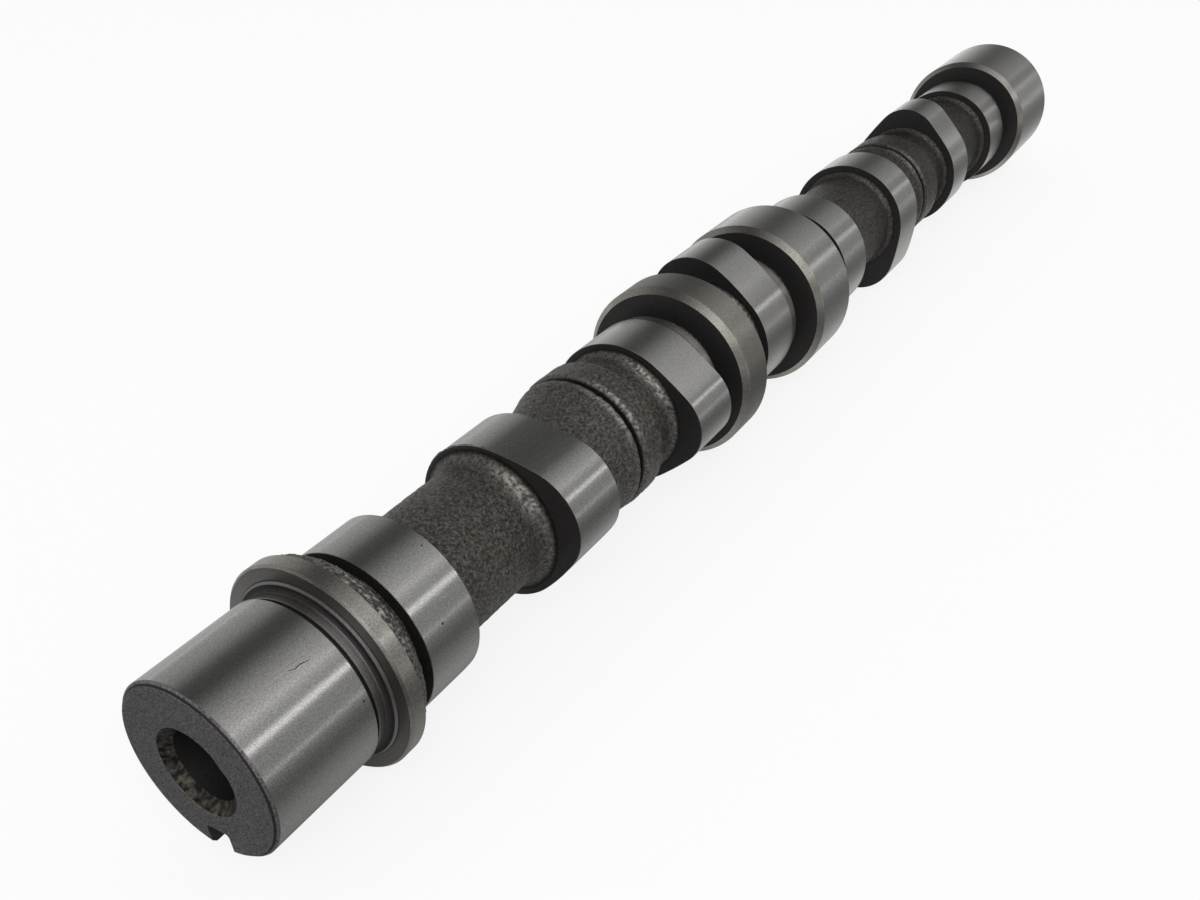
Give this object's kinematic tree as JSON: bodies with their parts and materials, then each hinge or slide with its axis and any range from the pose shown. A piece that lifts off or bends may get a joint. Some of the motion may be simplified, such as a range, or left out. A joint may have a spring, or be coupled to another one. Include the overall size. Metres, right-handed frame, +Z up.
{
  "type": "camshaft",
  "caption": "Cast camshaft with paired cam lobes, large ground journals, a thrust flange and a slotted front seat with a bolt hole.",
  "frame": {"origin": "middle of the front bearing seat, on the shaft's axis", "axes": "+X along the shaft from the front seat to the rear journal, +Z up with the shaft lying on its three large journals"},
  "size_m": [0.3546, 0.0388, 0.0388],
  "materials": {
    "iron": "ground"
  },
  "bodies": {
    "root": {"camshaft": "iron"}
  },
  "joints": []
}
